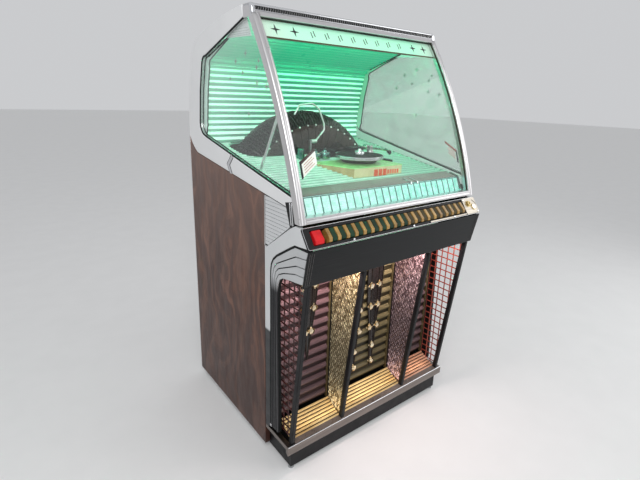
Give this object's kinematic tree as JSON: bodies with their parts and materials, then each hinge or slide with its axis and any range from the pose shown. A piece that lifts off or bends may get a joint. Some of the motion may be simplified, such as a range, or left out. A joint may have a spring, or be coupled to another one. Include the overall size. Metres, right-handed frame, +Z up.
{
  "type": "jukebox",
  "caption": "Floor-standing record player cabinet: curved glass lid over a visible record changer, keyboard row, slanted open grille and walnut sides.",
  "frame": {"origin": "on the floor under the middle of the cabinet", "axes": "+Z up, -Y towards the keyboard side, +X to the viewer's right"},
  "size_m": [0.78, 0.784, 1.438],
  "materials": {
    "aluminium_plate": "brushed",
    "arm_metal": "dark enamel",
    "banner_mint": "backlit panel",
    "black_paint": "satin black",
    "black_plinth": "satin black paint",
    "black_vinyl": "black wood-grained laminate",
    "chrome_trim": "polished",
    "clear_glass": "clear, tinted green by the hood light",
    "cream_enamel": "cream enamel",
    "dark_plate": "dark brown",
    "deck_mint": "mint ribbed deck",
    "glide_steel": "zinc plated",
    "gold_rib": "ribbed gold",
    "gold_sheet": "anodised gold, perforated",
    "grey_enamel": "light warm grey enamel",
    "grey_steel": "hammered grey",
    "key_amber": "amber",
    "key_red": "red",
    "lamp_glass": "lit tube",
    "lid_metal": "polished extrusion",
    "magazine_metal": "dark brown",
    "mauve_rib": "mauve corrugated sheet",
    "platter_metal": "bright rim, dark rubber mat",
    "rear_board": "dark hardboard",
    "record_vinyl": "grooved vinyl",
    "red_lattice": "red enamel",
    "ribbed_reflector": "ribbed, lit green",
    "speaker_black": "paper cone and steel basket",
    "title_strip": "backlit strips",
    "walnut": "satin walnut veneer"
  },
  "bodies": {
    "cabinet": {"base_plinth": "black_plinth", "glides": "glide_steel", "base_sill": "chrome_trim", "wood_panel_left": "walnut", "wood_panel_right": "walnut", "side_casting_left": "grey_enamel", "side_casting_right": "grey_enamel", "hood_side_left": "grey_enamel", "hood_side_right": "grey_enamel", "side_glasses": "clear_glass", "hood_roof": "grey_enamel", "reflector": "ribbed_reflector", "rear_panel": "rear_board", "front_panel": "black_vinyl", "keyboard_tray": "black_paint", "control_plate": "aluminium_plate", "grille_bars": "black_paint", "grille_fins": "gold_sheet", "side_lattices": "red_lattice", "bay_panels": "mauve_rib", "bay_floor": "gold_rib", "ornament_plates": "dark_plate", "speakers": "speaker_black", "amplifier": "grey_steel", "cash_box": "grey_steel", "lamp_tubes": "lamp_glass", "title_rack": "title_strip", "mechanism_deck": "deck_mint", "turntable_base": "cream_enamel"},
    "lid": {"lid_frame": "lid_metal", "lid_glass": "clear_glass", "banner_panel": "banner_mint"},
    "stay": {"lid_stay": "aluminium_plate"},
    "platter": {"platter": "platter_metal"},
    "tone_arm": {"tone_arm": "arm_metal"},
    "magazine": {"magazine_wheel": "magazine_metal", "records": "record_vinyl"},
    "gripper": {"gripper_arm": "chrome_trim"},
    "lock": {"lock_cylinder": "chrome_trim"},
    "key_reset": {"key_reset": "key_red"},
    "key_01": {"key_01": "key_amber"},
    "key_02": {"key_02": "key_amber"},
    "key_03": {"key_03": "key_amber"},
    "key_04": {"key_04": "key_amber"},
    "key_05": {"key_05": "key_amber"},
    "key_06": {"key_06": "key_amber"},
    "key_07": {"key_07": "key_amber"},
    "key_08": {"key_08": "key_amber"},
    "key_09": {"key_09": "key_amber"},
    "key_10": {"key_10": "key_amber"},
    "key_11": {"key_11": "key_amber"},
    "key_12": {"key_12": "key_amber"},
    "key_13": {"key_13": "key_amber"},
    "key_14": {"key_14": "key_amber"},
    "key_15": {"key_15": "key_amber"},
    "key_16": {"key_16": "key_amber"},
    "key_17": {"key_17": "key_amber"},
    "key_18": {"key_18": "key_amber"},
    "key_19": {"key_19": "key_amber"},
    "key_20": {"key_20": "key_amber"}
  },
  "joints": [
    {"name": "lid_hinge", "type": "hinge", "parent": "cabinet", "child": "lid", "pos_m": [0, -0.067, 1.425], "axis": [-1, 0, 0], "range_deg": [0, 40]},
    {"name": "stay_pivot", "type": "hinge", "parent": "lid", "child": "stay", "pos_m": [-0.3595, -0.21453, 1.18], "axis": [-1, 0, 0], "range_deg": [-45, 0]},
    {"name": "platter_spin", "type": "hinge", "parent": "cabinet", "child": "platter", "pos_m": [0.046, -0.094, 0.99], "axis": [0, 0, 1], "continuous": true},
    {"name": "tone_arm_swing", "type": "hinge", "parent": "cabinet", "child": "tone_arm", "pos_m": [0.158, -0.034, 0.99], "axis": [0, 0, 1], "range_deg": [-26, 4]},
    {"name": "magazine_spin", "type": "hinge", "parent": "cabinet", "child": "magazine", "pos_m": [-0.01, 0.188, 0.795], "axis": [0, 1, 0], "continuous": true},
    {"name": "gripper_swing", "type": "hinge", "parent": "cabinet", "child": "gripper", "pos_m": [-0.048, 0.062, 1.036], "axis": [1, 0, 0], "range_deg": [0, 55]},
    {"name": "lock_turn", "type": "hinge", "parent": "cabinet", "child": "lock", "pos_m": [0.362, -0.37498, 0.82611], "axis": [0, -0.8151, 0.5793], "range_deg": [0, 90]},
    {"name": "key_reset_press", "type": "slide", "parent": "cabinet", "child": "key_reset", "axis": [0, 0.8151, -0.5793], "range_m": [0, 0.004], "stiffness_N_per_m": 150, "springref_m": -0.002},
    {"name": "key_01_press", "type": "slide", "parent": "cabinet", "child": "key_01", "axis": [0, 0.8151, -0.5793], "range_m": [0, 0.004], "stiffness_N_per_m": 150, "springref_m": -0.002},
    {"name": "key_02_press", "type": "slide", "parent": "cabinet", "child": "key_02", "axis": [0, 0.8151, -0.5793], "range_m": [0, 0.004], "stiffness_N_per_m": 150, "springref_m": -0.002},
    {"name": "key_03_press", "type": "slide", "parent": "cabinet", "child": "key_03", "axis": [0, 0.8151, -0.5793], "range_m": [0, 0.004], "stiffness_N_per_m": 150, "springref_m": -0.002},
    {"name": "key_04_press", "type": "slide", "parent": "cabinet", "child": "key_04", "axis": [0, 0.8151, -0.5793], "range_m": [0, 0.004], "stiffness_N_per_m": 150, "springref_m": -0.002},
    {"name": "key_05_press", "type": "slide", "parent": "cabinet", "child": "key_05", "axis": [0, 0.8151, -0.5793], "range_m": [0, 0.004], "stiffness_N_per_m": 150, "springref_m": -0.002},
    {"name": "key_06_press", "type": "slide", "parent": "cabinet", "child": "key_06", "axis": [0, 0.8151, -0.5793], "range_m": [0, 0.004], "stiffness_N_per_m": 150, "springref_m": -0.002},
    {"name": "key_07_press", "type": "slide", "parent": "cabinet", "child": "key_07", "axis": [0, 0.8151, -0.5793], "range_m": [0, 0.004], "stiffness_N_per_m": 150, "springref_m": -0.002},
    {"name": "key_08_press", "type": "slide", "parent": "cabinet", "child": "key_08", "axis": [0, 0.8151, -0.5793], "range_m": [0, 0.004], "stiffness_N_per_m": 150, "springref_m": -0.002},
    {"name": "key_09_press", "type": "slide", "parent": "cabinet", "child": "key_09", "axis": [0, 0.8151, -0.5793], "range_m": [0, 0.004], "stiffness_N_per_m": 150, "springref_m": -0.002},
    {"name": "key_10_press", "type": "slide", "parent": "cabinet", "child": "key_10", "axis": [0, 0.8151, -0.5793], "range_m": [0, 0.004], "stiffness_N_per_m": 150, "springref_m": -0.002},
    {"name": "key_11_press", "type": "slide", "parent": "cabinet", "child": "key_11", "axis": [0, 0.8151, -0.5793], "range_m": [0, 0.004], "stiffness_N_per_m": 150, "springref_m": -0.002},
    {"name": "key_12_press", "type": "slide", "parent": "cabinet", "child": "key_12", "axis": [0, 0.8151, -0.5793], "range_m": [0, 0.004], "stiffness_N_per_m": 150, "springref_m": -0.002},
    {"name": "key_13_press", "type": "slide", "parent": "cabinet", "child": "key_13", "axis": [0, 0.8151, -0.5793], "range_m": [0, 0.004], "stiffness_N_per_m": 150, "springref_m": -0.002},
    {"name": "key_14_press", "type": "slide", "parent": "cabinet", "child": "key_14", "axis": [0, 0.8151, -0.5793], "range_m": [0, 0.004], "stiffness_N_per_m": 150, "springref_m": -0.002},
    {"name": "key_15_press", "type": "slide", "parent": "cabinet", "child": "key_15", "axis": [0, 0.8151, -0.5793], "range_m": [0, 0.004], "stiffness_N_per_m": 150, "springref_m": -0.002},
    {"name": "key_16_press", "type": "slide", "parent": "cabinet", "child": "key_16", "axis": [0, 0.8151, -0.5793], "range_m": [0, 0.004], "stiffness_N_per_m": 150, "springref_m": -0.002},
    {"name": "key_17_press", "type": "slide", "parent": "cabinet", "child": "key_17", "axis": [0, 0.8151, -0.5793], "range_m": [0, 0.004], "stiffness_N_per_m": 150, "springref_m": -0.002},
    {"name": "key_18_press", "type": "slide", "parent": "cabinet", "child": "key_18", "axis": [0, 0.8151, -0.5793], "range_m": [0, 0.004], "stiffness_N_per_m": 150, "springref_m": -0.002},
    {"name": "key_19_press", "type": "slide", "parent": "cabinet", "child": "key_19", "axis": [0, 0.8151, -0.5793], "range_m": [0, 0.004], "stiffness_N_per_m": 150, "springref_m": -0.002},
    {"name": "key_20_press", "type": "slide", "parent": "cabinet", "child": "key_20", "axis": [0, 0.8151, -0.5793], "range_m": [0, 0.004], "stiffness_N_per_m": 150, "springref_m": -0.002}
  ],
  "couplings": [
    {"joint": "stay_pivot", "follows": "lid_hinge", "ratio": -1.125}
  ]
}
